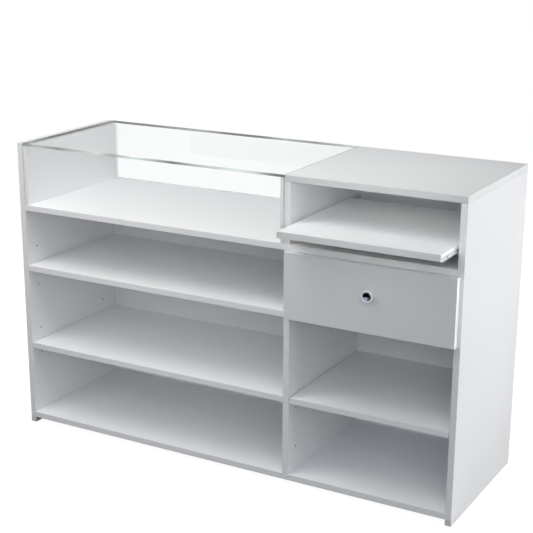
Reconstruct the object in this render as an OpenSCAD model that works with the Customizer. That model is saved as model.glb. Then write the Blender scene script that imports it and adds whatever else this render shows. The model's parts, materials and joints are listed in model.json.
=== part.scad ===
// Shop checkout counter, seen from the staff side: a glass display case over two open
// shelves on the left, and a till top, a pull-out shelf, a drawer and an open bay on the right.
// X runs along the counter, Y from the staff side to the customer side, Z up.
// The origin is on the floor at the middle of the end panels' footprint.
// Modules draw from the front left corner of the counter, and placed() moves them to the origin.

/* [Carcass] */
// Overall width of the counter
counter_w = 1500; // [1300:10:1700]
// Depth of the end panels
counter_d = 490; // [480:5:600]
// Height of the till top above the floor
counter_h = 950; // [930:5:1000]
// Thickness of the melamine boards
board = 19; // [18:0.5:20]
// Gap between the floor and the bottom board
floor_gap = 18; // [15:1:30]
// Clear width of the drawer bay
bay_w = 502; // [460:2:560]

/* [Display case] */
// Height of the display case, from its floor to the top of the counter
display_h = 199; // [180:1:220]
// Thickness of the glass top
glass = 8; // [5:0.5:10]
// Thickness of the glass pane on the customer side
pane = 6; // [4:0.5:8]
// Thickness of the linings that carry the glass top
lining = 14; // [12:1:18]
// Width of the shadow groove beside each lining's front edge
lining_groove_w = 4.5; // [3:0.5:6]
// Gap round the loose glass top
glass_gap = 0.5; // [0.3:0.1:1]

/* [Shelves] */
// Height of the upper left shelf's underside
shelf_high = 530; // [500:5:590]
// Height of the lower shelves' undersides
shelf_low = 265; // [260:1:310]
// Setback of the shelves from the front
shelf_setback = 2; // [1:1:20]
// Gap between a left shelf and the panel beside it
shelf_gap = 1; // [0.5:0.5:2]
// Gap between the right shelf and the panel beside it
small_shelf_gap = 2.5; // [1:0.5:3]
// Diameter of the shelf pins
pin_d = 5; // [4:0.5:6]

/* [Pull-out shelf] */
// Height of its underside above the display floor's level
tray_rise = 43.5; // [30:0.5:70]
// Gap behind its board when it is pushed in
tray_back_gap = 1; // [1:0.5:8]
// How far it is drawn out of the counter
tray_out = 100; // [0:5:250]
// Side gap that holds each slide
tray_gap = 10; // [10:0.5:12]

/* [Drawer] */
// Height of the drawer front
front_h = 199; // [180:1:210]
// Height of the drawer box
box_h = 140; // [110:5:150]
// Depth of the drawer box
box_d = 400; // [380:5:430]
// Thickness of the drawer sides and back
box_board = 12; // [12:0.5:15]
// Side gap that holds each slide
drawer_gap = 13; // [13:0.5:14]
// Diameter of the knob
knob_d = 35; // [28:1:45]
// How far the knob stands out
knob_out = 20; // [18:1:30]
// Height of the knob above the middle of the front
knob_rise = 14; // [-20:1:30]
// Sideways offset of the knob from the middle of the front
knob_shift = 8; // [-20:1:20]

/* [Hidden] */

$fn = 48;
white = [0.93, 0.935, 0.94];
zinc = [0.72, 0.73, 0.75];
coated = [0.86, 0.865, 0.87];
beech = [0.82, 0.68, 0.48];
black = [0.15, 0.15, 0.16];
chrome = [0.75, 0.77, 0.8];
hardboard = [0.9, 0.9, 0.88];
clear = [0.75, 0.9, 0.82, 0.35];
hair = 0.05;                       // clearance round a part that fits in a bore
over = 1;                          // how far a cutter runs past a face

// Levels and places of the boards
deck_z = counter_h - display_h - board;
deck_top = deck_z + board;
bottom_top = floor_gap + board;
back_y = counter_d - board;
divider_x = counter_w - 2 * board - bay_w;
bay_x = divider_x + board;
right_x = counter_w - board;
top_z = counter_h - board;
divider_mid = divider_x + board / 2;
bottom_mid = floor_gap + board / 2;
deck_mid = deck_z + board / 2;
back_mid = back_y + board / 2;

// Display case
bumper_h = 1;
bumper_d = 8;
tape = 1;
tape_w = 4;
tape_inset = 1;
lining_top = counter_h - glass - bumper_h;
lining_d = counter_d - pane - tape;
lining_groove_d = 10;
bumper_inset = 60;
bumper_rows = [bumper_inset, counter_d / 2, counter_d - bumper_inset];

// Shelf pins
pin_rows = [49, 399];
pin_hole = 9;
pin_l = 17;
free_levels_left = [237, 324, 474, 604];
free_levels_right = [111, 237];
high_level = shelf_high - pin_d / 2 + 2 * hair;
low_level = shelf_low - pin_d / 2 + 2 * hair;

// Feet under the middle of the bottom board
foot_d = 40;
foot_neck_d = 24;
foot_plug_d = 10;
foot_plug_h = 11;
foot_rim_h = 5;
foot_edge = 1;
foot_inset = 100;
foot_rows = [foot_inset, counter_d / 2, counter_d - foot_inset];

// Dowels: each sits 12 mm in a board's face and 18 mm in the other board's end
dowel_r = 4;
dowel_face = 12;
dowel_end = 18;
dowel_spare = 0.5;
lower_dowel_rows = [120, 350];
deck_dowel_rows = [120, 370];
upper_dowel_rows = [200, 430];
top_dowel_rows = [100, 390];
panel_dowel_levels = [150, 600];
divider_dowel_levels = [250, 500];
till_back_dowel_inset = 50;
till_back_dowel_shares = [0.25, 0.75];
bottom_back_dowel_shares = [0.15, 0.5, 0.85];
customer_top_dowel_shares = [0.2, 0.45, 0.8];

// Cam fittings: a bolt in the panel's face, and a cam in the underside of the board
cam_r = 7.5;
cam_h = 12.5;
cam_back = 34;
cam_slot_w = 1.2;
cam_slot_deep = 2;
bolt_thread_r = 2.5;
bolt_thread_l = 10.5;
bolt_shank_r = 3;
bolt_head_r = 3.4;
bolt_head_l = 5;
bolt_bore_r = 4;
bottom_cam_rows = [60, 411];
deck_cam_rows = [60, 430];

// Screws that hold the lower divider
screw_l = 50;
screw_r = 3.4;
screw_head_r = 5;
screw_head_h = 3;
screw_hex_d = 4;
screw_hex_deep = 2;
bottom_screw_rows = [60, 411];
deck_screw_rows = [60, 290];

// Wood screws of the slides
wood_r = 1.5;
wood_l = 12;
wood_head_r = 3.1;
wood_head_h = 1.4;
screw_room = 0.5;

// Pull-out shelf and its slides, 17 mm high
tray_z = deck_top + tray_rise;
tray_x = bay_x + tray_gap;
tray_w = bay_w - 2 * tray_gap;
tray_d = back_y - tray_back_gap;
tray_front = -tray_out;
tray_slide_inset = 3;
tray_channel_h = 17;
tray_rail_h = 10.4;
tray_rail_w = 4.4;
tray_sheet = 1;
tray_slide_z = tray_z + tray_rail_h / 2;
tray_slide_l = 450;
tray_ball_r = 1.1;
tray_ball_in = 1.2;
tray_channel_lip = 1.6;
tray_cage_lip = 1.4;
tray_cage_t = 0.5;
tray_cage_l = 90;
tray_cage_home = tray_slide_inset + tray_slide_l / 2;
tray_cage_y = tray_cage_home - tray_out / 2 - tray_cage_l / 2;

// Drawer
front_gap = 1;
front_reveal = 0.5;
front_overlay = board / 2;
front_x = bay_x - front_overlay + front_reveal;
front_w = bay_w + 2 * front_overlay - 2 * front_reveal;
front_y = -front_gap - board;
front_z = deck_z + front_reveal - front_h;
box_x = bay_x + drawer_gap;
box_w = bay_w - 2 * drawer_gap;
box_rise = 18;
box_z = front_z + box_rise;
box_bottom = 4;
box_bottom_rise = 10;
box_groove = 6;
box_dowel_r = 3;
box_dowel_face = 9;
box_dowel_end = 16;
box_dowel_low = 35;
box_dowel_high = 25;
bottom_slack = 0.5;
box_skin = 0.8;
bottom_screw_shares = [0.15, 0.5, 0.85];
knob_x = front_x + front_w / 2 + knob_shift;
knob_z = front_z + front_h / 2 + knob_rise;
knob_screw_r = 2;
knob_screw_hole_r = 2.3;
knob_screw_in = 9;
knob_stem_r = 7;
knob_rim_w = 4.5;
knob_dish = 6;
knob_chamfer = 1;
knob_chamfer_h = 1.5;
knob_neck_share = 0.45;
knob_flare_share = 0.35;
knob_dish_steps = 12;
knob_screw_head_r = 4.2;
knob_screw_head_h = 2.2;

// Drawer slides, 45 mm high, in three parts
slide_y = 1;
slide_l = 400;
slide_h = 45;
slide_rise = 45;
slide_z = box_z + slide_rise;
sheet = 1.2;
middle_h = 37;
channel_lip_u = 8;
middle_u = 3.4;
middle_lip_u = 10;
rail_h = 28;
rail_u = 6;
ball_r = 1.35;
outer_ball_u = 6.2;
inner_ball_u = 8.2;
cage_l = 120;
cage_y = 140;
cage_pitch = 20;
cage_w = 3.2;
cage_t = 0.6;
slide_screw_rows = [37, 200, 360];

// ---- Helpers ----

// Moves a part from the counter's front left corner to the origin
module placed() {
    translate([-counter_w / 2, -counter_d / 2, 0]) children();
}

// A block from one corner to the opposite one
module block(low, high) {
    translate(low) cube(high - low);
}

function turn(dir) =
    dir == "+x" ? [0, 90, 0] : dir == "-x" ? [0, -90, 0] :
    dir == "+y" ? [-90, 0, 0] : dir == "-y" ? [90, 0, 0] :
    dir == "-z" ? [180, 0, 0] : [0, 0, 0];

// A round bar that starts at a point and runs along a direction
module bar(point, dir, r, l, start = 0) {
    translate(point) rotate(turn(dir)) translate([0, 0, start]) cylinder(r = r, h = l);
}

// A wood screw whose head rests on the point's face
module wood_screw(point, dir) {
    bar(point, dir, wood_head_r, wood_head_h, -wood_head_h);
    bar(point, dir, wood_r, wood_l, -wood_head_h / 2);
}

module wood_screw_hole(point, dir, depth = wood_l) {
    bar(point, dir, wood_r + hair, depth + over, -over);
}

// ---- Dowels and cam fittings: a point on the joint, and the way into the board's end ----

function both_ends(rows, z) = [for (y = rows) each [
    [[board, y, z], "+x"], [[right_x, y, z], "-x"]]];

bottom_end_dowels = both_ends(lower_dowel_rows, bottom_mid);
deck_end_dowels = both_ends(deck_dowel_rows, deck_mid);
customer_end_dowels = [for (z = panel_dowel_levels) each [
    [[board, back_mid, z], "+x"], [[right_x, back_mid, z], "-x"]]];
divider_foot_dowels = [for (y = lower_dowel_rows) [[divider_mid, y, bottom_top], "+z"]];
divider_head_dowels = [for (y = lower_dowel_rows) [[divider_mid, y, deck_z], "-z"]];
upper_foot_dowels = [for (y = upper_dowel_rows) [[divider_mid, y, deck_top], "+z"]];
top_dowels = [for (x = [divider_mid, right_x + board / 2], y = top_dowel_rows)
    [[x, y, top_z], "-z"]];
till_back_dowels = [
    for (z = [deck_top + till_back_dowel_inset, top_z - till_back_dowel_inset]) each [
        [[bay_x, back_mid, z], "+x"], [[right_x, back_mid, z], "-x"]]];
till_back_foot_dowels = [for (f = till_back_dowel_shares)
    [[bay_x + f * bay_w, back_mid, deck_top], "+z"]];
bottom_back_dowels = [for (f = bottom_back_dowel_shares)
    [[f * counter_w, back_y, bottom_mid], "-y"]];
divider_back_dowels = [for (z = divider_dowel_levels) [[divider_mid, back_y, z], "-y"]];
customer_top_dowels = [for (f = customer_top_dowel_shares)
    [[f * counter_w, back_mid, deck_z], "-z"]];
all_dowels = concat(bottom_end_dowels, deck_end_dowels, customer_end_dowels,
    divider_foot_dowels, divider_head_dowels, upper_foot_dowels, top_dowels, till_back_dowels,
    till_back_foot_dowels, bottom_back_dowels, divider_back_dowels, customer_top_dowels);

bottom_cams = both_ends(bottom_cam_rows, bottom_mid);
deck_cams = both_ends(deck_cam_rows, deck_mid);

bottom_screws = [for (y = bottom_screw_rows) [[divider_mid, y, floor_gap], "+z"]];
deck_screws = [for (y = deck_screw_rows) [[divider_mid, y, deck_top], "-z"]];

module dowel_holes(list) {
    for (d = list)
        bar(d[0], d[1], dowel_r + hair, dowel_face + dowel_end + 2 * dowel_spare,
            -dowel_face - dowel_spare);
}

function along(dir) = dir == "+x" ? 1 : -1;

module cam_holes(list) {
    for (c = list) {
        bar(c[0], c[1], bolt_thread_r + hair, bolt_thread_l + over, -bolt_thread_l - dowel_spare);
        bar(c[0], c[1], bolt_bore_r, cam_back + bolt_head_l / 2);
        translate(c[0] + [along(c[1]) * cam_back, 0, -board / 2 - over])
            cylinder(r = cam_r + hair, h = cam_h + over + hair);
    }
}

// Only the threaded end of a cam bolt goes into the panel
module cam_thread_holes(list) {
    for (c = list)
        bar(c[0], c[1], bolt_thread_r + hair, bolt_thread_l + over, -bolt_thread_l - dowel_spare);
}

module divider_screw_holes(list) {
    for (s = list) {
        bar(s[0], s[1], screw_head_r + hair, screw_head_h + hair + over, -over);
        bar(s[0], s[1], screw_r + hair, screw_l + dowel_spare);
    }
}

// Blind holes for shelf pins in a face at x, bored the way dir points
module pin_holes(x, dir, levels) {
    for (y = pin_rows, z = levels)
        bar([x, y, z], dir, pin_d / 2, pin_hole + over, -over);
}

left_levels = concat(free_levels_left, [low_level, high_level]);
right_levels = concat(free_levels_right, [low_level]);

// ---- Carcass ----

module left_end_panel() {
    color(white) placed() difference() {
        block([0, 0, 0], [board, counter_d, counter_h]);
        pin_holes(board, "-x", left_levels);
        dowel_holes([for (d = concat(bottom_end_dowels, deck_end_dowels, customer_end_dowels))
            if (d[1] == "+x") d]);
        cam_thread_holes([for (c = concat(bottom_cams, deck_cams)) if (c[1] == "+x") c]);
    }
}

module right_end_panel() {
    color(white) placed() difference() {
        block([right_x, 0, 0], [counter_w, counter_d, top_z]);
        pin_holes(right_x, "+x", right_levels);
        dowel_holes([for (d = concat(bottom_end_dowels, deck_end_dowels, customer_end_dowels,
            till_back_dowels)) if (d[1] == "-x") d]);
        dowel_holes([for (d = top_dowels) if (d[0][0] > right_x) d]);
        cam_thread_holes([for (c = concat(bottom_cams, deck_cams)) if (c[1] == "-x") c]);
        tray_channel_screw_holes("right");
        drawer_channel_screw_holes("right");
    }
}

module lower_divider() {
    color(white) placed() difference() {
        block([divider_x, 0, bottom_top], [bay_x, back_y, deck_z]);
        pin_holes(divider_x, "+x", left_levels);
        pin_holes(bay_x, "-x", right_levels);
        dowel_holes(concat(divider_foot_dowels, divider_head_dowels, divider_back_dowels));
        divider_screw_holes(concat(bottom_screws, deck_screws));
        drawer_channel_screw_holes("left");
    }
}

module upper_divider() {
    color(white) placed() difference() {
        block([divider_x, 0, deck_top], [bay_x, counter_d, top_z]);
        dowel_holes(upper_foot_dowels);
        dowel_holes([for (d = top_dowels) if (d[0][0] < right_x) d]);
        dowel_holes([for (d = till_back_dowels) if (d[1] == "+x") d]);
        tray_channel_screw_holes("left");
    }
}

module bottom_board() {
    color(white) placed() difference() {
        block([board, 0, floor_gap], [right_x, back_y, bottom_top]);
        dowel_holes(concat(bottom_end_dowels, divider_foot_dowels, bottom_back_dowels));
        cam_holes(bottom_cams);
        divider_screw_holes(bottom_screws);
        for (y = foot_rows)
            translate([counter_w / 2, y, floor_gap - over])
                cylinder(d = foot_plug_d + 2 * hair, h = foot_plug_h + over + dowel_spare);
    }
}

module deck_board() {
    color(white) placed() difference() {
        block([board, 0, deck_z], [right_x, counter_d, deck_top]);
        dowel_holes(concat(deck_end_dowels, divider_head_dowels, upper_foot_dowels,
            till_back_foot_dowels, customer_top_dowels));
        cam_holes(deck_cams);
        divider_screw_holes(deck_screws);
    }
}

module till_top() {
    color(white) placed() difference() {
        block([divider_x, 0, top_z], [counter_w, counter_d, counter_h]);
        dowel_holes(top_dowels);
    }
}

module customer_panel() {
    color(white) placed() difference() {
        block([board, back_y, floor_gap], [right_x, counter_d, deck_z]);
        dowel_holes(concat(customer_end_dowels, bottom_back_dowels, divider_back_dowels,
            customer_top_dowels));
    }
}

module till_back_panel() {
    color(white) placed() difference() {
        block([bay_x, back_y, deck_top], [right_x, counter_d, top_z]);
        dowel_holes(concat(till_back_dowels, till_back_foot_dowels));
    }
}

module dowels() {
    color(beech) placed()
        for (d = all_dowels)
            bar(d[0], d[1], dowel_r, dowel_face + dowel_end, -dowel_face);
}

module cam_bolts() {
    color(zinc) placed()
        for (c = concat(bottom_cams, deck_cams)) {
            bar(c[0], c[1], bolt_thread_r, bolt_thread_l + over, -bolt_thread_l);
            bar(c[0], c[1], bolt_shank_r, cam_back - bolt_head_l / 2);
            bar(c[0], c[1], bolt_head_r, bolt_head_l, cam_back - bolt_head_l / 2);
        }
}

module cam_lock() {
    difference() {
        cylinder(r = cam_r, h = cam_h);
        translate([0, 0, board / 2]) rotate([0, 90, 0])
            cylinder(r = bolt_bore_r, h = 2 * cam_r + 2 * over, center = true);
        for (a = [0, 90])
            rotate(a) translate([-cam_r / 2, -cam_slot_w / 2, -over])
                cube([cam_r, cam_slot_w, cam_slot_deep + over]);
    }
}

module cam_locks() {
    color(zinc) placed()
        for (c = concat(bottom_cams, deck_cams))
            translate(c[0] + [along(c[1]) * cam_back, 0, -board / 2]) cam_lock();
}

module divider_screws() {
    color(zinc) placed()
        for (s = concat(bottom_screws, deck_screws))
            translate(s[0]) rotate(turn(s[1])) difference() {
                union() {
                    cylinder(r = screw_head_r, h = screw_head_h);
                    cylinder(r = screw_r, h = screw_l);
                }
                translate([0, 0, -over]) cylinder(d = screw_hex_d, h = screw_hex_deep + over, $fn = 6);
            }
}

module foot() {
    plug_top = floor_gap + foot_plug_h;
    rotate_extrude() polygon([[0, 0], [foot_d / 2 - foot_edge, 0], [foot_d / 2, foot_edge],
        [foot_d / 2, foot_rim_h], [foot_neck_d / 2, floor_gap - foot_rim_h],
        [foot_neck_d / 2, floor_gap], [foot_plug_d / 2, floor_gap],
        [foot_plug_d / 2, plug_top - foot_edge], [foot_plug_d / 2 - foot_edge, plug_top],
        [0, plug_top]]);
}

module centre_feet() {
    color(black) placed()
        for (y = foot_rows) translate([counter_w / 2, y, 0]) foot();
}

// ---- Display case ----

// A lining stands on the deck against a panel; the groove is on the panel's side
module lining_at(x, groove_x) {
    color(white) placed() difference() {
        block([x, 0, deck_top], [x + lining, lining_d, lining_top]);
        block([groove_x, -over, deck_top - over],
            [groove_x + lining_groove_w, lining_groove_d, lining_top + over]);
    }
}

module left_lining() {
    lining_at(board, board);
}

module right_lining() {
    lining_at(divider_x - lining, divider_x - lining_groove_w);
}

module glass_top() {
    color(clear) placed()
        block([board + glass_gap, 0, counter_h - glass],
            [divider_x - glass_gap, counter_d, counter_h]);
}

module glass_pane() {
    color(clear) placed()
        block([board + glass_gap, counter_d - pane, deck_top + tape],
            [divider_x - glass_gap, counter_d, lining_top]);
}

module glass_bumpers() {
    color(clear) placed()
        for (x = [board + lining / 2, divider_x - lining / 2], y = bumper_rows)
            translate([x, y, lining_top]) cylinder(d = bumper_d, h = bumper_h);
}

// Clear bonding tape under the pane and between the pane and the linings
module pane_tape() {
    color(clear) placed() {
        block([board + lining, counter_d - pane + tape_inset, deck_top],
            [divider_x - lining, counter_d - tape_inset, deck_top + tape]);
        for (x = [board + lining / 2, divider_x - lining / 2])
            block([x - tape_w / 2, lining_d, deck_top + tape],
                [x + tape_w / 2, lining_d + tape, lining_top]);
    }
}

// ---- Shelves ----

module shelf(x0, x1, z) {
    color(white) placed()
        block([x0, shelf_setback, z], [x1, back_y - shelf_setback, z + board]);
}

module shelf_left_upper() {
    shelf(board + shelf_gap, divider_x - shelf_gap, shelf_high);
}

module shelf_left_lower() {
    shelf(board + shelf_gap, divider_x - shelf_gap, shelf_low);
}

module shelf_right() {
    shelf(bay_x + small_shelf_gap, right_x - small_shelf_gap, shelf_low);
}

module pins_at(x, dir, level) {
    for (y = pin_rows)
        bar([x, y, level - hair], dir, pin_d / 2 - hair, pin_l, -pin_hole + hair);
}

module shelf_pins() {
    color(zinc) placed() {
        for (level = [low_level, high_level]) {
            pins_at(board, "+x", level);
            pins_at(divider_x, "-x", level);
        }
        pins_at(bay_x, "+x", low_level);
        pins_at(right_x, "-x", low_level);
    }
}

// ---- Slides: u runs from the fixed panel to the moving part, v is up, y is along ----

// Extrudes a slide's section along y, from one panel's face or mirrored from the other's
module slide_bar(side, z, y, l) {
    translate([side == "left" ? bay_x : right_x, y, z])
        mirror([side == "left" ? 0 : 1, 0, 0])
            rotate([90, 0, 0]) mirror([0, 0, 1]) linear_extrude(l) children();
}

// A channel section from u0 to u1, open towards u1 or towards u0
module channel_2d(u0, u1, h, t, open_end = true) {
    difference() {
        translate([u0, -h / 2]) square([u1 - u0, h]);
        translate([open_end ? u0 + t : u0 - over, -h / 2 + t]) square([u1 - u0 - t + over, h - 2 * t]);
    }
}

// Screws through a fixed slide's web, into the panel
module fixed_screws(side, z, y0, web) {
    for (r = slide_screw_rows)
        wood_screw([side == "left" ? bay_x + web : right_x - web, y0 + r, z],
            side == "left" ? "-x" : "+x");
}

module fixed_screw_holes(side, z, y0) {
    for (r = slide_screw_rows)
        wood_screw_hole([side == "left" ? bay_x : right_x, y0 + r, z],
            side == "left" ? "-x" : "+x");
}

// Holes that the screws pass in a slide's web
module web_holes(side, z, y0, u) {
    for (r = slide_screw_rows)
        bar([side == "left" ? bay_x + u : right_x - u, y0 + r, z],
            side == "left" ? "+x" : "-x", wood_r + hair, 2 * sheet + 2 * over, -sheet - over);
}

// Screws through a moving slide's web, into the moving board's side
module moving_screws(side, z, y0, u) {
    for (r = slide_screw_rows)
        wood_screw([side == "left" ? bay_x + u : right_x - u, y0 + r, z],
            side == "left" ? "+x" : "-x");
}

module moving_screw_holes(side, z, y0, gap, depth) {
    for (r = slide_screw_rows)
        wood_screw_hole([side == "left" ? bay_x + gap : right_x - gap, y0 + r, z],
            side == "left" ? "+x" : "-x", depth);
}

// Two rows of balls in a slide
module balls(side, z, y, u, v, r, l) {
    for (s = [-1, 1], k = [cage_pitch / 2 : cage_pitch : l - r])
        translate([side == "left" ? bay_x + u : right_x - u, y + k, z + s * v])
            sphere(r = r, $fn = 24);
}

// ---- Pull-out shelf ----

tray_web = tray_gap - tray_sheet;
tray_rail_y = tray_front + tray_slide_inset;
tray_ball_u = tray_gap - tray_rail_w + tray_ball_in;
tray_ball_v = (tray_rail_h + tray_channel_h - 2 * tray_sheet) / 4;
tray_cage_h = 2 * tray_ball_v + tray_cage_t;
tray_cage_u = tray_sheet + wood_head_h + screw_room;

module tray_channel_screw_holes(side) {
    fixed_screw_holes(side, tray_slide_z, tray_slide_inset);
}

module tray_channel(side) {
    color(coated) placed() difference() {
        slide_bar(side, tray_slide_z, tray_slide_inset, tray_slide_l)
            channel_2d(0, tray_ball_u + tray_channel_lip, tray_channel_h, tray_sheet);
        web_holes(side, tray_slide_z, tray_slide_inset, 0);
    }
}

module tray_channel_left() {
    tray_channel("left");
}

module tray_channel_right() {
    tray_channel("right");
}

module tray_rail(side) {
    color(coated) placed() difference() {
        slide_bar(side, tray_slide_z, tray_rail_y, tray_slide_l)
            channel_2d(tray_gap - tray_rail_w, tray_gap, tray_rail_h, tray_sheet, false);
        web_holes(side, tray_slide_z, tray_rail_y, tray_gap);
    }
}

module tray_rail_left() {
    tray_rail("left");
}

module tray_rail_right() {
    tray_rail("right");
}

module tray_board() {
    color(white) placed() difference() {
        block([tray_x, tray_front, tray_z], [tray_x + tray_w, tray_front + tray_d, tray_z + board]);
        for (side = ["left", "right"])
            moving_screw_holes(side, tray_slide_z, tray_rail_y, tray_gap, wood_l);
    }
}

module tray_rail_screws() {
    color(zinc) placed()
        for (side = ["left", "right"])
            moving_screws(side, tray_slide_z, tray_rail_y, tray_web);
}

module tray_ball_cages() {
    color(white) placed()
        for (side = ["left", "right"]) difference() {
            slide_bar(side, tray_slide_z, tray_cage_y, tray_cage_l)
                channel_2d(tray_cage_u, tray_ball_u + tray_cage_lip, tray_cage_h, tray_cage_t);
            ball_holes(side, tray_slide_z, tray_cage_y, tray_ball_u, tray_cage_h, tray_ball_r,
                tray_cage_l);
        }
}

// Round holes through a cage's two lips, one for each ball
module ball_holes(side, z, y, u, h, r, l) {
    for (k = [cage_pitch / 2 : cage_pitch : l - r])
        translate([side == "left" ? bay_x + u : right_x - u, y + k, z - h / 2 - over])
            cylinder(r = r + hair, h = h + 2 * over, $fn = 24);
}

module tray_balls() {
    color(zinc) placed()
        for (side = ["left", "right"])
            balls(side, tray_slide_z, tray_cage_y, tray_ball_u, tray_ball_v, tray_ball_r,
                tray_cage_l);
}

// ---- Drawer ----

box_back_y = -front_gap + box_d;
bottom_z = box_z + box_bottom_rise;
inner_x = box_x + box_board;
inner_w = box_w - 2 * box_board;
bottom_tongue = box_groove - bottom_slack;

front_dowels = [for (x = [box_x + box_board / 2, box_x + box_w - box_board / 2],
    z = [box_z + box_dowel_low, box_z + box_h - box_dowel_high]) [[x, -front_gap, z], "+y"]];
back_dowels = [for (z = [box_z + box_dowel_low, box_z + box_h - box_dowel_high]) each [
    [[inner_x, box_back_y - box_board / 2, z], "+x"],
    [[inner_x + inner_w, box_back_y - box_board / 2, z], "-x"]]];

module box_dowel_holes(list) {
    for (d = list)
        bar(d[0], d[1], box_dowel_r + hair, box_dowel_face + box_dowel_end + 2 * dowel_spare,
            -box_dowel_face - dowel_spare);
}

// The groove in the drawer's front and sides that holds the bottom
module bottom_groove() {
    block([inner_x - box_groove, -front_gap - box_groove, bottom_z - hair],
        [inner_x + inner_w + box_groove, box_back_y + over, bottom_z + box_bottom + hair]);
}

module drawer_front() {
    color(white) placed() difference() {
        block([front_x, front_y, front_z], [front_x + front_w, front_y + board, front_z + front_h]);
        box_dowel_holes(front_dowels);
        bottom_groove();
        bar([knob_x, front_y - over, knob_z], "+y", knob_screw_hole_r, board + 2 * over);
    }
}

module drawer_side(side) {
    x = side == "left" ? box_x : box_x + box_w - box_board;
    color(white) placed() difference() {
        block([x, -front_gap, box_z], [x + box_board, box_back_y, box_z + box_h]);
        box_dowel_holes(concat(front_dowels, back_dowels));
        bottom_groove();
        moving_screw_holes(side, slide_z, slide_y, drawer_gap, box_board - box_skin);
    }
}

module drawer_side_left() {
    drawer_side("left");
}

module drawer_side_right() {
    drawer_side("right");
}

back_low = bottom_z + box_bottom + hair;

module bottom_screw_spots() {
    for (f = bottom_screw_shares)
        translate([inner_x + f * inner_w, box_back_y - box_board / 2, bottom_z]) children();
}

module drawer_back() {
    color(white) placed() difference() {
        block([inner_x, box_back_y - box_board, back_low],
            [inner_x + inner_w, box_back_y, box_z + box_h]);
        box_dowel_holes(back_dowels);
        bottom_screw_spots() cylinder(r = wood_r + hair, h = wood_l + box_bottom);
    }
}

module drawer_bottom() {
    color(hardboard) placed() difference() {
        block([inner_x - bottom_tongue, -front_gap - bottom_tongue, bottom_z],
            [inner_x + inner_w + bottom_tongue, box_back_y, bottom_z + box_bottom]);
        bottom_screw_spots()
            translate([0, 0, -over]) cylinder(r = wood_r + hair, h = box_bottom + 2 * over);
    }
}

module drawer_dowels() {
    color(beech) placed()
        for (d = concat(front_dowels, back_dowels))
            bar(d[0], d[1], box_dowel_r, box_dowel_face + box_dowel_end, -box_dowel_face);
}

module drawer_bottom_screws() {
    color(zinc) placed() bottom_screw_spots() wood_screw([0, 0, 0], "+z");
}

// Round knob with a concave face; its back rests on the drawer front
module knob() {
    rim = knob_d / 2;
    dish = rim - knob_rim_w;
    dish_round = (dish * dish + knob_dish * knob_dish) / (2 * knob_dish);
    arc = asin(dish / dish_round);
    neck = knob_out * knob_neck_share;
    flare = knob_out * knob_flare_share;
    lip = knob_rim_w / 2;
    color(chrome) placed()
        translate([knob_x, front_y, knob_z]) rotate([90, 0, 0]) difference() {
            rotate_extrude($fn = 96) polygon(concat(
                [[0, 0], [knob_stem_r + knob_chamfer, 0], [knob_stem_r, knob_chamfer_h],
                    [knob_stem_r, neck]],
                [for (a = [30 : 15 : 90])
                    [knob_stem_r + (rim - knob_stem_r) * (1 - cos(a)), neck + flare * sin(a)]],
                [for (a = [0 : 22.5 : 180])
                    [rim - lip + lip * cos(a), knob_out - lip + lip * sin(a)]],
                [for (i = [0 : knob_dish_steps]) let (a = arc * (1 - i / knob_dish_steps))
                    [dish_round * sin(a), knob_out - lip - knob_dish + dish_round * (1 - cos(a))]]));
            translate([0, 0, -over]) cylinder(r = knob_screw_r + hair, h = knob_screw_in + over);
        }
}

module knob_screw() {
    color(zinc) placed() translate([knob_x, front_y + board, knob_z]) rotate([90, 0, 0]) {
        cylinder(r = knob_screw_r, h = board + knob_screw_in - dowel_spare);
        translate([0, 0, -knob_screw_head_h])
            cylinder(r = knob_screw_head_r, h = knob_screw_head_h);
    }
}

// ---- Drawer slides ----

rail_web = drawer_gap - sheet;
outer_ball_v = (middle_h + slide_h - 2 * sheet) / 4;
inner_ball_v = (rail_h + middle_h - 2 * sheet) / 4;

module drawer_channel_screw_holes(side) {
    fixed_screw_holes(side, slide_z, slide_y);
}

module drawer_channel(side) {
    color(zinc) placed() difference() {
        slide_bar(side, slide_z, slide_y, slide_l) channel_2d(0, channel_lip_u, slide_h, sheet);
        web_holes(side, slide_z, slide_y, 0);
    }
}

module drawer_channel_left() {
    drawer_channel("left");
}

module drawer_channel_right() {
    drawer_channel("right");
}

module drawer_middle(side) {
    color(zinc) placed()
        slide_bar(side, slide_z, slide_y, slide_l) channel_2d(middle_u, middle_lip_u, middle_h, sheet);
}

module drawer_middle_left() {
    drawer_middle("left");
}

module drawer_middle_right() {
    drawer_middle("right");
}

module drawer_rail(side) {
    color(zinc) placed() difference() {
        slide_bar(side, slide_z, slide_y, slide_l)
            channel_2d(rail_u, drawer_gap, rail_h, sheet, false);
        web_holes(side, slide_z, slide_y, drawer_gap);
    }
}

module drawer_rail_left() {
    drawer_rail("left");
}

module drawer_rail_right() {
    drawer_rail("right");
}

module drawer_rail_screws() {
    color(zinc) placed()
        for (side = ["left", "right"]) moving_screws(side, slide_z, slide_y, rail_web);
}

// A cage strip above and one below, each with its row of balls
module cage_strips(side, u, v, r) {
    difference() {
        slide_bar(side, slide_z, cage_y, cage_l)
            for (s = [-1, 1])
                translate([u - cage_w / 2, s * v - cage_t / 2]) square([cage_w, cage_t]);
        ball_holes(side, slide_z, cage_y, u, 2 * v + cage_t, r, cage_l);
    }
    balls(side, slide_z, cage_y, u, v, r, cage_l);
}

module drawer_outer_cages() {
    color(zinc) placed()
        for (side = ["left", "right"]) cage_strips(side, outer_ball_u, outer_ball_v, ball_r);
}

module drawer_inner_cages() {
    color(zinc) placed()
        for (side = ["left", "right"]) cage_strips(side, inner_ball_u, inner_ball_v, ball_r);
}

module channel_screws() {
    color(zinc) placed()
        for (side = ["left", "right"]) {
            fixed_screws(side, tray_slide_z, tray_slide_inset, tray_sheet);
            fixed_screws(side, slide_z, slide_y, sheet);
        }
}

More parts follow.
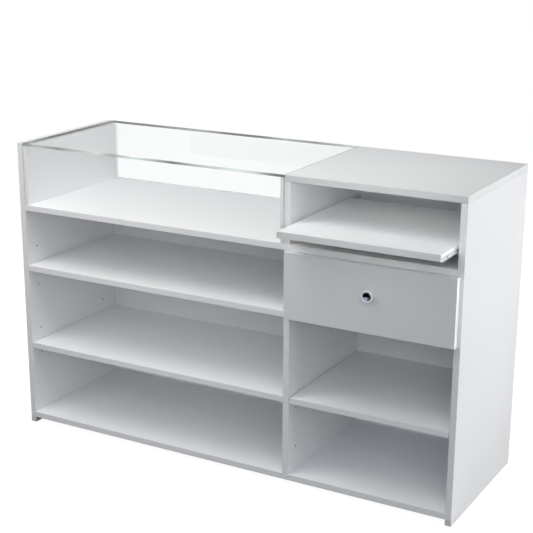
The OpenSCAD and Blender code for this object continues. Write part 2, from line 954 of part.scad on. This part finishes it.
left_end_panel();
right_end_panel();
lower_divider();
upper_divider();
bottom_board();
deck_board();
till_top();
customer_panel();
till_back_panel();
left_lining();
right_lining();
glass_top();
glass_pane();
glass_bumpers();
pane_tape();
shelf_left_upper();
shelf_left_lower();
shelf_right();
shelf_pins();
centre_feet();
dowels();
cam_locks();
cam_bolts();
divider_screws();
tray_channel_left();
tray_channel_right();
drawer_channel_left();
drawer_channel_right();
channel_screws();
tray_board();
tray_rail_left();
tray_rail_right();
tray_rail_screws();
tray_ball_cages();
tray_balls();
drawer_front();
drawer_side_left();
drawer_side_right();
drawer_back();
drawer_bottom();
drawer_dowels();
drawer_bottom_screws();
knob();
knob_screw();
drawer_rail_left();
drawer_rail_right();
drawer_rail_screws();
drawer_middle_left();
drawer_middle_right();
drawer_outer_cages();
drawer_inner_cages();
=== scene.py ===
"""The looks of the shop counter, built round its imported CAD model.

Lengths are in metres, in the CAD's frame: x runs along the counter, y towards the customer, z up."""

import json
import math

import bmesh
import bpy
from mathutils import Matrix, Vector


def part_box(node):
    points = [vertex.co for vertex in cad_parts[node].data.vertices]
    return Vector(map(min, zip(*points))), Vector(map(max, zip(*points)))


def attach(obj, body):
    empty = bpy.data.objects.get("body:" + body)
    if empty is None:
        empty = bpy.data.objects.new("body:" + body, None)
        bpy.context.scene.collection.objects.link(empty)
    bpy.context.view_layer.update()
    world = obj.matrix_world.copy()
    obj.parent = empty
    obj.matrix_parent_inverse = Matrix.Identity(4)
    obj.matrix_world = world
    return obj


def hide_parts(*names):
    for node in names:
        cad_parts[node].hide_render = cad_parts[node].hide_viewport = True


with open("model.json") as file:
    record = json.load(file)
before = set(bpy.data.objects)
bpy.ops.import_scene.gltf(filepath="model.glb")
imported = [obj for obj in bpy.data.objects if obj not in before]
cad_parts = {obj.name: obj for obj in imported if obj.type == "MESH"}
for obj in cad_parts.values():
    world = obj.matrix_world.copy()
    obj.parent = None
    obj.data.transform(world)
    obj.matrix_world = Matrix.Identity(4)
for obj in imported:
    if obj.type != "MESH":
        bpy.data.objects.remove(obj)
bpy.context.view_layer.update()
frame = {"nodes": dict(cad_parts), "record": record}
MM = 0.001
AXES = "xyz"
WELD = 1e-6
BODY_OF = {n: b for b, ns in frame["record"]["behaviour"]["bodies"].items() for n in ns}
SLOT_OF = {s["node"]: s["material_slot"] for s in frame["record"]["subparts"]}

# ---- Camera ----

FOCAL, SENSOR = 85.42, 36
SHIFT = (0.0441, 0.0406)
AZIMUTH, ELEVATION = math.radians(30.15), math.radians(17.25)
EYE = (1.850, -3.301, 1.695)

backwards = Vector((math.sin(AZIMUTH) * math.cos(ELEVATION), -math.cos(AZIMUTH) * math.cos(ELEVATION),
                    math.sin(ELEVATION)))
lens = bpy.data.cameras.new("camera")
lens.lens, lens.sensor_width = FOCAL, SENSOR
lens.shift_x, lens.shift_y = SHIFT
camera = bpy.data.objects.new("camera", lens)
camera.location = EYE
camera.rotation_mode = "QUATERNION"
camera.rotation_quaternion = (-backwards).to_track_quat("-Z", "Y")
bpy.context.scene.collection.objects.link(camera)
bpy.context.scene.camera = camera

# ---- Node helpers ----


class Shader:
    """Builds a node tree: each call adds a node, sets or links its inputs and gives its first output."""

    def __init__(self, tree):
        self.tree = tree
        self.tree.nodes.clear()

    def add(self, kind, inputs=None, out=0, **settings):
        n = self.tree.nodes.new("ShaderNode" + kind)
        for k, v in settings.items():
            setattr(n, k, v)
        for k, v in (inputs or {}).items():
            if isinstance(v, bpy.types.NodeSocket):
                self.tree.links.new(v, n.inputs[k])
            else:
                n.inputs[k].default_value = v
        return n.outputs[out]

    def math(self, operation, a, b=0.0, c=0.0, clamp=False):
        return self.add("Math", {0: a, 1: b, 2: c}, operation=operation, use_clamp=clamp)

    def noise(self, where, scale, detail=2.0, rough=0.5):
        return self.add("TexNoise", {"Vector": where, "Scale": scale, "Detail": detail, "Roughness": rough})

    def remap(self, value, low, high, to_low, to_high):
        return self.add("MapRange", {0: value, 1: low, 2: high, 3: to_low, 4: to_high})

    def mix(self, factor, a, b):
        return self.add("Mix", {0: factor, 6: a, 7: b}, out=2, data_type="RGBA")


def rgb(r, g, b):
    return (r, g, b, 1)


def new_material(name):
    m = bpy.data.materials.new(name)
    m.use_nodes = True
    return m, Shader(m.node_tree)


def finish_material(m, s, surface):
    o = s.tree.nodes.new("ShaderNodeOutputMaterial")
    s.tree.links.new(surface, o.inputs["Surface"])
    return m


def coated_board(name, colour, rough, peel):
    """Melamine or edge band: a fine pressed texture, a slow waviness and faint smudges in the sheen."""
    m, s = new_material(name)
    at = s.add("TexCoord", out=3)
    smudge = s.noise(at, 6.0, 4.0, 0.6)
    fine = s.noise(at, 1100.0, 1.0)
    waves = s.noise(at, 70.0, 2.0)
    dark = rgb(*[c * 0.99 for c in colour])
    tint = s.mix(s.remap(smudge, 0.35, 0.65, 0.0, 1.0), dark, rgb(*colour))
    shine = s.remap(smudge, 0.3, 0.7, rough - 0.03, rough + 0.03)
    relief = s.math("ADD", s.math("MULTIPLY", fine, 0.35), waves)
    bump = s.add("Bump", {"Strength": peel, "Distance": 0.0004, "Height": relief})
    return finish_material(m, s, s.add("BsdfPrincipled", {
        "Base Color": tint, "Roughness": shine, "Normal": bump, "IOR": 1.5}))


def chipboard():
    """The raw core of a board, seen in the shelf-pin holes."""
    m, s = new_material("chipboard_core")
    at = s.add("TexCoord", out=3)
    flakes = s.add("TexVoronoi", {"Vector": at, "Scale": 900.0})
    colour = s.mix(flakes, rgb(0.30, 0.21, 0.12), rgb(0.10, 0.065, 0.035))
    return finish_material(m, s, s.add("BsdfPrincipled", {"Base Color": colour, "Roughness": 0.85}))


def glass_face(name, dark_strips=None):
    """Clear float glass: a faint green tint, dust, and both surfaces' mirroring on the outer side.

    Dark strips, on a pane, are the middle, half width and foot of the opening that it closes: the pane is
    darker and bluer along the opening's ends and greyer along its foot."""
    m, s = new_material(name)
    at = s.add("TexCoord", out=3)
    dust = s.remap(s.noise(at, 9.0, 5.0, 0.65), 0.45, 0.8, 0.0, 0.012)
    outside = s.math("SUBTRACT", 1.0, s.add("NewGeometry", out=6))
    mirrored = s.math("MINIMUM", s.math("MULTIPLY", s.add("Fresnel", {"IOR": 1.5}), 1.6), GLANCE)
    gloss = s.math("MULTIPLY", mirrored, outside)
    tint = rgb(0.984, 0.992, 0.987)
    if dark_strips:
        middle, half, foot = dark_strips
        split = s.add("SeparateXYZ", {0: at}, out=0).node.outputs
        off = s.math("ABSOLUTE", s.math("SUBTRACT", split[0], middle))
        ends = s.remap(s.math("ABSOLUTE", s.math("SUBTRACT", off, half)), 0.0, DARK_STRIP_W, 1.0, 0.0)
        base = s.remap(split[2], foot, foot + DARK_STRIP_W, 1.0, 0.0)
        # Darker, bluer strips along the opening's ends and a greyer strip along its foot
        tint = s.mix(ends, s.mix(base, tint, rgb(0.80, 0.83, 0.85)), rgb(0.58, 0.63, 0.70))
    clear = s.add("BsdfTransparent", {"Color": tint})
    film = s.add("BsdfDiffuse", {"Color": rgb(0.8, 0.82, 0.82)})
    body = s.add("MixShader", {0: dust, 1: clear, 2: film})
    mirror = s.add("BsdfGlossy", {"Color": rgb(1, 1, 1), "Roughness": 0.012})
    return finish_material(m, s, s.add("MixShader", {0: gloss, 1: body, 2: mirror}))


def painted_glass_edge(name, axis, tint, stretches):
    """A polished edge, with painted reflections and painted shade in bright and dark stretches along it, and
    a painted glow.

    Stretches are pairs of a place along the axis and a brightness."""
    m, s = new_material(name)
    at = s.add("TexCoord", out=3)
    first, last = stretches[0][0], stretches[-1][0]
    place = s.remap(s.add("SeparateXYZ", {0: at}, out=axis), first, last, 0.0, 1.0)
    ramp = s.add("ValToRGB", {0: place})
    stops = ramp.node.color_ramp.elements
    for i, (where, level) in enumerate(stretches):
        along = (where - first) / (last - first)
        stop = stops[i] if i < 2 else stops.new(along)
        stop.position = along
        stop.color = rgb(*[level * t for t in tint])
    drawn = s.add("Mapping", {"Vector": at, "Scale": (7.0, 7.0, 450.0)})
    streak = s.remap(s.noise(drawn, 1.0, 3.0), 0.35, 0.65, 0.82, 1.12)
    colour = s.add("VectorMath", {0: ramp, 3: streak}, operation="SCALE")
    # Painted light: the edge glows in its own colour, though it is no lamp
    return finish_material(m, s, s.add("BsdfPrincipled", {
        "Base Color": colour, "Roughness": 0.15, "IOR": 1.5,
        "Emission Color": colour, "Emission Strength": PAINTED_EDGE_GLOW}))


def clear_plastic():
    """The bumpers and bonding tape: hazy, slightly milky."""
    m, s = new_material("clear_plastic")
    at = s.add("TexCoord", out=3)
    haze = s.remap(s.noise(at, 300.0, 2.0), 0.3, 0.7, 0.25, 0.4)
    clear = s.add("BsdfTransparent", {"Color": rgb(0.93, 0.95, 0.94)})
    milky = s.add("BsdfPrincipled", {"Base Color": rgb(0.75, 0.78, 0.77), "Roughness": 0.3})
    return finish_material(m, s, s.add("MixShader", {0: haze, 1: clear, 2: milky}))


def metal(name, colour, rough, grain, spangle=0.0):
    """Plated steel: fine drawing lines and, on zinc, faint crystals."""
    m, s = new_material(name)
    at = s.add("TexCoord", out=3)
    stretched = s.add("Mapping", {"Vector": at, "Scale": (900.0, 30.0, 900.0)})
    lines = s.noise(stretched, 1.0, 3.0)
    crystals = s.add("TexVoronoi", {"Vector": at, "Scale": 260.0}, out=1)
    grey = s.add("RGBToBW", {0: crystals})
    tint = s.mix(s.math("MULTIPLY", grey, spangle, clamp=True), rgb(*colour), rgb(*[c * 0.8 for c in colour]))
    shine = s.remap(lines, 0.3, 0.7, rough - grain, rough + grain)
    bump = s.add("Bump", {"Strength": 0.15, "Distance": 0.00003, "Height": lines})
    return finish_material(m, s, s.add("BsdfPrincipled", {
        "Base Color": tint, "Metallic": 1.0, "Roughness": shine, "Normal": bump}))


def chrome_material():
    """The knob's dished face: polished metal with a dark slate-blue base colour, which paints in the dark
    reflections of its dish, and faint wear in its shine.
    """
    m, s = new_material("chrome")
    at = s.add("TexCoord", out=3)
    wear = s.noise(at, 500.0, 5.0, 0.7)
    shine = s.remap(wear, 0.4, 0.75, 0.035, 0.11)
    # Painted reflection: a base darker and bluer than bare chrome
    return finish_material(m, s, s.add("BsdfPrincipled", {
        "Base Color": rgb(0.38, 0.42, 0.47), "Metallic": 1.0, "Roughness": shine}))


def satin_material():
    """The knob's brushed rim and stem: a pale, mostly non-metal coat that paints in the light reflections of
    its surroundings, with fine turning lines.
    """
    m, s = new_material("satin_nickel_painted_reflection")
    at = s.add("TexCoord", out=3)
    lines = s.noise(s.add("Mapping", {"Vector": at, "Scale": (200.0, 6000.0, 200.0)}), 1.0, 2.0)
    shine = s.remap(lines, 0.3, 0.7, 0.32, 0.42)
    # Painted reflection: a near-white base, only slightly metallic
    return finish_material(m, s, s.add("BsdfPrincipled", {
        "Base Color": rgb(0.96, 0.97, 0.98), "Metallic": 0.2, "Roughness": shine}))


def beech_material():
    """The dowels: turned beech with grain along them."""
    m, s = new_material("beech")
    at = s.add("TexCoord", out=3)
    stretched = s.add("Mapping", {"Vector": at, "Scale": (40.0, 40.0, 400.0)})
    grain = s.noise(stretched, 1.0, 4.0, 0.6)
    colour = s.mix(grain, rgb(0.52, 0.33, 0.17), rgb(0.72, 0.53, 0.32))
    return finish_material(m, s, s.add("BsdfPrincipled", {"Base Color": colour, "Roughness": 0.6}))


def plastic_material(name, colour, rough):
    """Moulded plastic or powder coat: a fine grain in colour and relief."""
    m, s = new_material(name)
    at = s.add("TexCoord", out=3)
    grain = s.noise(at, 1500.0, 2.0)
    bump = s.add("Bump", {"Strength": 0.3, "Distance": 0.0001, "Height": grain})
    tint = s.mix(grain, rgb(*colour), rgb(*[min(1, c * 1.15) for c in colour]))
    return finish_material(m, s, s.add("BsdfPrincipled", {
        "Base Color": tint, "Roughness": rough, "Normal": bump}))


# How much glass mirrors at a glance, how wide the pane's darker strips along its ends and foot are, and how
# strongly its edges glow with painted light
GLANCE = 0.22
DARK_STRIP_W = 3 * MM
PAINTED_EDGE_GLOW = 0.3

MELAMINE = coated_board("melamine_face", (0.875, 0.881, 0.888), 0.36, 0.10)
# Painted shade: the edge band is darker and bluer than the face, for the dim bluish light on the edges
SHADED_BAND = coated_board("melamine_edge_band_painted_shade", (0.76, 0.768, 0.783), 0.30, 0.05)
# Painted shadow: the drawer front is darker and bluer, for the pull-out shelf's shadow and the dim bluish
# front light
SHADED_FRONT = coated_board("melamine_front_painted_shadow", (0.675, 0.685, 0.703), 0.34, 0.10)
# Painted light: the pull-out shelf's face is lighter than the other faces
LIT_TRAY_FACE = coated_board("melamine_tray_painted_light", (0.91, 0.915, 0.92), 0.36, 0.10)
# Painted shade: the till top's face is darker than the other faces
SHADED_TOP_FACE = coated_board("melamine_top_painted_shade", (0.84, 0.848, 0.848), 0.36, 0.10)
# Painted highlight: a paler band for the side ends of the drawer front and the pull-out shelf
LIT_END_BAND = coated_board("melamine_end_band_painted_highlight", (0.93, 0.935, 0.94), 0.30, 0.05)
# Painted shade: the fronts of the pull-out shelf and the till top are darker still
SHADED_FRONT_BAND = coated_board("melamine_front_band_painted_shade", (0.62, 0.628, 0.64), 0.30, 0.05)
# Painted shade: the joint line is darker than the board, for the shade in the till top's joint
SEAM_SHADE = coated_board("joint_line_painted_shade", (0.40, 0.41, 0.42), 0.5, 0.05)
CORE = chipboard()
GLASS = glass_face("glass_face")
GREEN, COOL = (0.90, 1.0, 0.94), (0.93, 0.97, 1.0)
# Painted reflections and painted shade: each glass edge's brightness, given stretch by stretch along it
NEAR_EDGE = painted_glass_edge("glass_near_edge", 0, GREEN, [
    (-0.73, 0.28), (-0.66, 0.42), (-0.59, 0.26), (-0.50, 0.52), (-0.44, 0.66), (-0.38, 0.34), (-0.30, 0.74),
    (-0.165, 0.20), (-0.08, 0.58), (0.05, 0.72), (0.11, 0.60), (0.17, 0.24), (0.21, 0.18)])
FAR_EDGE = painted_glass_edge("glass_far_edge", 0, GREEN, [
    (-0.73, 0.02), (-0.58, 0.02), (-0.45, 0.15), (-0.36, 0.25), (-0.28, 0.02), (-0.15, 0.02), (-0.05, 0.30),
    (0.05, 0.15), (0.20, 0.50)])
SIDE_EDGE = painted_glass_edge("glass_side_edge", 1, GREEN, [
    (-0.245, 0.10), (-0.205, 0.25), (-0.14, 0.12), (-0.09, 0.04), (0.13, 0.04), (0.245, 0.20)])
PANE_EDGE = painted_glass_edge("glass_pane_edge", 0, COOL, [(-0.73, 0.80), (-0.1, 0.9), (0.21, 0.85)])
COATED_STEEL = plastic_material("white_powder_coat", (0.66, 0.67, 0.685), 0.38)
SLIDE_STEEL = metal("slide_zinc", (0.56, 0.58, 0.61), 0.34, 0.06, 0.5)
FITTING_STEEL = metal("fitting_nickel", (0.60, 0.60, 0.61), 0.24, 0.05)
CHROME_PAINTED_DARK = chrome_material()
SATIN_PAINTED_REFLECTION = satin_material()
PLAIN = {
    "clear_plastic": clear_plastic(),
    "slide_steel": SLIDE_STEEL,
    "coated_steel": COATED_STEEL,
    "fitting_steel": FITTING_STEEL,
    "beech": beech_material(),
    "black_plastic": plastic_material("black_plastic", (0.02, 0.02, 0.022), 0.5),
    "white_plastic": plastic_material("white_plastic", (0.75, 0.75, 0.74), 0.45),
    "hardboard": coated_board("hardboard_white", (0.66, 0.66, 0.65), 0.5, 0.2)}

# ---- Meshes from the CAD's ----


def cad_mesh(node):
    """A welded copy of a CAD node's mesh, with its flat faces whole again."""
    bm = bmesh.new()
    bm.from_mesh(frame["nodes"][node].data)
    bmesh.ops.remove_doubles(bm, verts=bm.verts, dist=WELD)
    bmesh.ops.dissolve_limit(bm, angle_limit=math.radians(1), verts=bm.verts, edges=bm.edges)
    return bm


def outer_edges(bm, lo, hi, tol=1e-5):
    """The edges that run along the twelve edges of the box."""
    found = []
    for e in bm.edges:
        walls = 0
        for a in range(3):
            for wall in (lo[a], hi[a]):
                if all(abs(v.co[a] - wall) < tol for v in e.verts):
                    walls += 1
        if walls >= 2:
            found.append(e)
    return found


def make_piece(name, bm, materials, node, smooth_angle=None):
    """Turns a mesh into a piece that replaces the CAD node, on its body, with the given materials."""
    mesh = bpy.data.meshes.new(name)
    bm.normal_update()
    bm.to_mesh(mesh)
    bm.free()
    for m in materials:
        mesh.materials.append(m)
    if smooth_angle:
        mesh.shade_smooth()
        mesh.set_sharp_from_angle(angle=smooth_angle)
    piece = bpy.data.objects.new(name, mesh)
    bpy.context.scene.collection.objects.link(piece)
    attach(piece, BODY_OF[node])
    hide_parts(node)
    return piece


BAND_T, BAND_REACH = 1.0 * MM, 1.1 * MM
ROUND, GLASS_ROUND, SHEET_ROUND = 0.9 * MM, 0.5 * MM, 0.3 * MM
LONG_EDGE = 50 * MM


def wall_distance(lo, hi, direction, p):
    """How far a point is from the box's wall in a direction such as "+x"."""
    a = AXES.index(direction[1])
    return hi[a] - p[a] if direction[0] == "+" else p[a] - lo[a]


def board(node, bands):
    """A melamine board: rounded arrises, 1 mm edge bands on the named sides, and raw core in its holes.

    A seamed board gets painted shade along its lower arrises, for the shade in its joint."""
    lo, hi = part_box(node)
    bm = cad_mesh(node)
    edges = outer_edges(bm, lo, hi)
    bmesh.ops.bevel(bm, geom=edges, offset=ROUND, segments=2, profile=0.5, affect="EDGES", clamp_overlap=True)
    for d in bands:
        a = AXES.index(d[1])
        plane = [0, 0, 0]
        plane[a] = hi[a] - BAND_T if d[0] == "+" else lo[a] + BAND_T
        normal = [0, 0, 0]
        normal[a] = 1
        geom = list(bm.verts) + list(bm.edges) + list(bm.faces)
        bmesh.ops.bisect_plane(bm, geom=geom, plane_co=plane, plane_no=normal, dist=1e-7)
    for f in bm.faces:
        c = f.calc_center_median()
        near = [d[1] for d in bands if wall_distance(lo, hi, d, c) < BAND_T]
        if near:
            # Painted highlight: the side ends of the drawer front and the pull-out shelf take the paler end
            # band
            f.material_index = 3 if node in LIT_END_BOARDS and "x" in near else 1
        elif min(wall_distance(lo, hi, s + x, c) for s in "+-" for x in AXES) > BAND_REACH:
            f.material_index = 2
        # Painted shade: the till top's lower arrises take the dark joint line
        if node in SEAM_SHADED_BOARDS and 0 < c.z - lo.z < ROUND:
            f.material_index = 4
    face = FACES.get(node, MELAMINE)
    core = MELAMINE if "lining" in node else CORE
    return make_piece(node + "_board", bm, [face, FRONTS.get(node, SHADED_BAND), core, LIT_END_BAND, SEAM_SHADE], node)


BOARDS = {
    "left_end_panel": ["-y", "+y", "+z", "-z"], "right_end_panel": ["-y", "+y", "-z"],
    "lower_divider": ["-y"], "upper_divider": ["-y", "+y"], "bottom_board": ["-y"],
    "deck_board": ["-y", "+y"], "till_top": ["-y", "+y"], "customer_panel": [],
    "till_back_panel": [], "left_lining": ["-y", "+z"], "right_lining": ["-y", "+z"],
    "shelf_left_upper": ["-y"], "shelf_left_lower": ["-y"], "shelf_right": ["-y"],
    "tray_board": ["-y", "-x", "+x", "+y"], "drawer_front": ["-x", "+x", "-z", "+z"],
    "drawer_side_left": ["+z"], "drawer_side_right": ["+z"], "drawer_back": ["+z"]}
# Lit and shaded copies of the melamine face and band: painted light and painted shade per board
FACES = {"drawer_front": SHADED_FRONT, "tray_board": LIT_TRAY_FACE, "till_top": SHADED_TOP_FACE}
FRONTS = {"tray_board": SHADED_FRONT_BAND, "till_top": SHADED_FRONT_BAND}
LIT_END_BOARDS = ("drawer_front", "tray_board")
SEAM_SHADED_BOARDS = ("till_top",)
for name, bands in BOARDS.items():
    board(name, bands)


def glass(node, thin, face, edges):
    """A pane with ground arrises: face is for the sides across its thin axis, and edges paints the others."""
    lo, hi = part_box(node)
    bm = cad_mesh(node)
    bmesh.ops.bevel(bm, geom=outer_edges(bm, lo, hi), offset=GLASS_ROUND, segments=1, affect="EDGES")
    a = AXES.index(thin)
    sides = list(edges)
    bm.normal_update()
    for f in bm.faces:
        if abs(f.normal[a]) < 0.99:
            c = f.calc_center_median()
            f.material_index = 1 + min(range(len(sides)), key=lambda i: wall_distance(lo, hi, sides[i], c))
    return make_piece(node + "_pane", bm, [face] + [edges[d] for d in sides], node)


glass("glass_top", "z", GLASS, {"-y": NEAR_EDGE, "+y": FAR_EDGE, "-x": SIDE_EDGE, "+x": SIDE_EDGE})
opening_lo, opening_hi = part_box("left_lining")[1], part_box("right_lining")[0]
# The pane is darker in strips along its ends and foot, where it meets the linings and the deck
PANE = glass_face("glass_pane_face", ((opening_lo.x + opening_hi.x) / 2, (opening_hi.x - opening_lo.x) / 2,
                                      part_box("deck_board")[1].z))
glass("glass_pane", "y", PANE, {"-z": PANE_EDGE, "+z": PANE_EDGE, "-x": PANE_EDGE, "+x": PANE_EDGE})

# ---- Knob ----

KNOB_TURNS, FLARE_STEPS, RIM_STEPS, DISH_STEPS = 128, 18, 24, 28
KNOB_RIM_W, KNOB_DISH, KNOB_STEM = 4.5 * MM, 6 * MM, 7 * MM
NECK_SHARE, FLARE_SHARE = 0.45, 0.35


def knob():
    """The knob turned from a fine profile: foot, neck, flare, rolled rim and concave face."""
    lo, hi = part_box("knob")
    rim, out = (hi.x - lo.x) / 2, hi.y - lo.y
    centre = Vector(((lo.x + hi.x) / 2, hi.y, (lo.z + hi.z) / 2))
    dish, lip, neck, flare = rim - KNOB_RIM_W, KNOB_RIM_W / 2, out * NECK_SHARE, out * FLARE_SHARE
    ball = (dish * dish + KNOB_DISH * KNOB_DISH) / (2 * KNOB_DISH)
    arc = math.asin(dish / ball)
    profile = [(0, 0), (KNOB_STEM + 0.6 * MM, 0), (KNOB_STEM + 1 * MM, 0.3 * MM),
               (KNOB_STEM + 0.7 * MM, 0.9 * MM), (KNOB_STEM, 1.5 * MM), (KNOB_STEM, neck)]
    for i in range(1, FLARE_STEPS):
        a = math.pi / 2 * i / FLARE_STEPS
        profile.append((KNOB_STEM + (rim - KNOB_STEM) * (1 - math.cos(a)), neck + flare * math.sin(a)))
    for i in range(RIM_STEPS + 1):
        a = math.pi * i / RIM_STEPS
        profile.append((rim - lip + lip * math.cos(a), out - lip + lip * math.sin(a)))
    for i in range(1, DISH_STEPS + 1):
        a = arc * (1 - i / DISH_STEPS)
        profile.append((ball * math.sin(a), out - lip - KNOB_DISH + ball * (1 - math.cos(a))))
    bm = bmesh.new()
    verts = [bm.verts.new(centre + Vector((r, -h, 0))) for r, h in profile]
    edges = [bm.edges.new(p) for p in zip(verts, verts[1:])]
    bmesh.ops.spin(bm, geom=verts + edges, cent=centre, axis=(0, 1, 0), angle=2 * math.pi, steps=KNOB_TURNS)
    bmesh.ops.remove_doubles(bm, verts=bm.verts, dist=WELD)
    bmesh.ops.recalc_face_normals(bm, faces=bm.faces)
    for f in bm.faces:
        at = f.calc_center_median() - centre
        if math.hypot(at.x, at.z) < dish and -at.y > neck and f.normal.y < -0.1:
            f.material_index = 1
    return make_piece("knob_turned", bm, [SATIN_PAINTED_REFLECTION, CHROME_PAINTED_DARK], "knob", math.radians(32))


knob()

# ---- Slides and fittings ----

SHARP = math.radians(40)


def softened(node):
    """A sheet-metal section with its long edges eased."""
    bm = cad_mesh(node)
    edges = [e for e in bm.edges if e.calc_length() > LONG_EDGE and len(e.link_faces) == 2
             and e.calc_face_angle(0) > SHARP]
    bmesh.ops.bevel(bm, geom=edges, offset=SHEET_ROUND, segments=2, profile=0.5, affect="EDGES",
                    clamp_overlap=True)
    return make_piece(node + "_section", bm, [PLAIN[SLOT_OF[node]]], node, SHARP)


# Every slide section but the cages of balls is eased; the rest keep the CAD's mesh
for name in SLOT_OF:
    if SLOT_OF[name] in ("slide_steel", "coated_steel") and "cages" not in name:
        softened(name)

for name, o in frame["nodes"].items():
    if not o.hide_render:
        o.data.materials.clear()
        o.data.materials.append(PLAIN[SLOT_OF[name]])

# ---- Stage and light ----

FLOOR_GLOW, FLOOR_ALBEDO, FLOOR_RADIUS, FLOOR_DROP = 0.96, 0.12, 80, 0.5 * MM


def pale_floor():
    """A pale floor that glows evenly, seen by the camera but not by the object's light."""
    m, s = new_material("floor")
    glow = s.add("Emission", {"Color": rgb(1, 1, 1), "Strength": FLOOR_GLOW})
    matt = s.add("BsdfDiffuse", {"Color": rgb(FLOOR_ALBEDO, FLOOR_ALBEDO, FLOOR_ALBEDO)})
    material = finish_material(m, s, s.add("AddShader", {0: glow, 1: matt}))
    bm = bmesh.new()
    bmesh.ops.create_circle(bm, cap_ends=True, segments=96, radius=FLOOR_RADIUS)
    mesh = bpy.data.meshes.new("floor")
    bm.to_mesh(mesh)
    bm.free()
    mesh.materials.append(material)
    floor = bpy.data.objects.new("floor", mesh)
    floor.location = (0, 0, -FLOOR_DROP)
    floor.visible_diffuse = False
    floor.visible_glossy = False
    bpy.context.scene.collection.objects.link(floor)


pale_floor()

# Coloured lobes of sky: direction, sharpness and colour; nothing shines from below the horizon
LOBES = [((2, 0, 1), 1.0, (0.50, 0.50, 0.525)), ((-0.53, 0.83, 0.19), 32.0, (1.05, 1.04, 1.05)),
         ((0, -0.74, 0.67), 4.0, (0.77, 0.825, 0.92))]


def studio_sky():
    """The world: the sum of the lobes above the horizon, and black below it."""
    world = bpy.data.worlds.new("studio")
    bpy.context.scene.world = world
    world.use_nodes = True
    s = Shader(world.node_tree)
    way = s.add("TexCoord", out=0)
    sky = (0.0, 0.0, 0.0)
    for towards, sharpness, colour in LOBES:
        aim = tuple(Vector(towards).normalized())
        facing = s.add("VectorMath", {0: way, 1: aim}, out=1, operation="DOT_PRODUCT")
        lobe = s.math("POWER", s.math("MAXIMUM", facing, 0.0), sharpness)
        sky = s.add("VectorMath", {0: lobe, 1: colour, 2: sky}, operation="MULTIPLY_ADD")
    above = s.math("GREATER_THAN", s.add("SeparateXYZ", {0: way}, out=2), 0.0)
    light = s.add("Background", {"Color": sky, "Strength": above})
    o = s.tree.nodes.new("ShaderNodeOutputWorld")
    s.tree.links.new(light, o.inputs["Surface"])


studio_sky()


def softbox(name, at, towards, size, power, colour=(1, 1, 1), spread=180):
    """A square lamp, seen neither by the camera nor in reflections; spread is in degrees."""
    lamp = bpy.data.lights.new(name, "AREA")
    lamp.shape, lamp.size, lamp.energy, lamp.color = "SQUARE", size, power, colour
    lamp.spread = math.radians(spread)
    o = bpy.data.objects.new(name, lamp)
    o.location = at
    o.rotation_mode = "QUATERNION"
    o.rotation_quaternion = (Vector(towards) - Vector(at)).to_track_quat("-Z", "Y")
    o.visible_camera = False
    o.visible_glossy = False
    bpy.context.scene.collection.objects.link(o)


MIDDLE = (0.1, 0, 0.55)
NARROW, CONE = 20, 40
LAMPS = [
    # From the right, and the right towards the front
    ((2.6, 0, 0.65), MIDDLE, 1.0, 20.4),
    ((2.4, 1.05, 1.2), MIDDLE, 1.0, 13.5),
    ((1.7, -1.9, 1.2), MIDDLE, 1.0, 7.5),
    # From above and in front, on the left bay and the display case
    ((-0.35, -0.7, 2.0), (-0.14, 0, 0.55), 0.8, 10.8, (1.02, 1.01, 0.97)),
    ((-1.1, -1.3, 1.6), (-0.44, 0, 0.55), 0.8, 6.0, (1.06, 1.0, 0.94)),
    ((-0.6, -2.2, 1.5), (-0.3, 0, 0.45), 0.8, 0.36, (1.05, 1.02, 0.93), CONE),
    # On the pull-out shelf, and on the till top
    ((0.9, -2.1, 1.6), (0.48, 0, 0.84), 0.5, 0.24, (1.03, 1.03, 0.94), NARROW),
    ((0.85, 0, 2.6), (0.68, 0.04, 0.95), 0.5, 0.075, (1.03, 1.03, 0.94), NARROW),
    # Up from the floor in front, and on the customer side and the left end
    ((0, -1.2, 0.02), (0, -1.2, 1), 2.0, 2.4),
    ((-1.3, 2.4, 0.45), MIDDLE, 0.8, 34.0),
    ((-2.8, 0.6, 0.45), MIDDLE, 0.8, 18.0)]
for i, lamp in enumerate(LAMPS):
    softbox(f"softbox_{i}", *lamp)

bpy.context.scene.cycles.diffuse_bounces = 12
bpy.context.scene.view_settings.view_transform = "Standard"
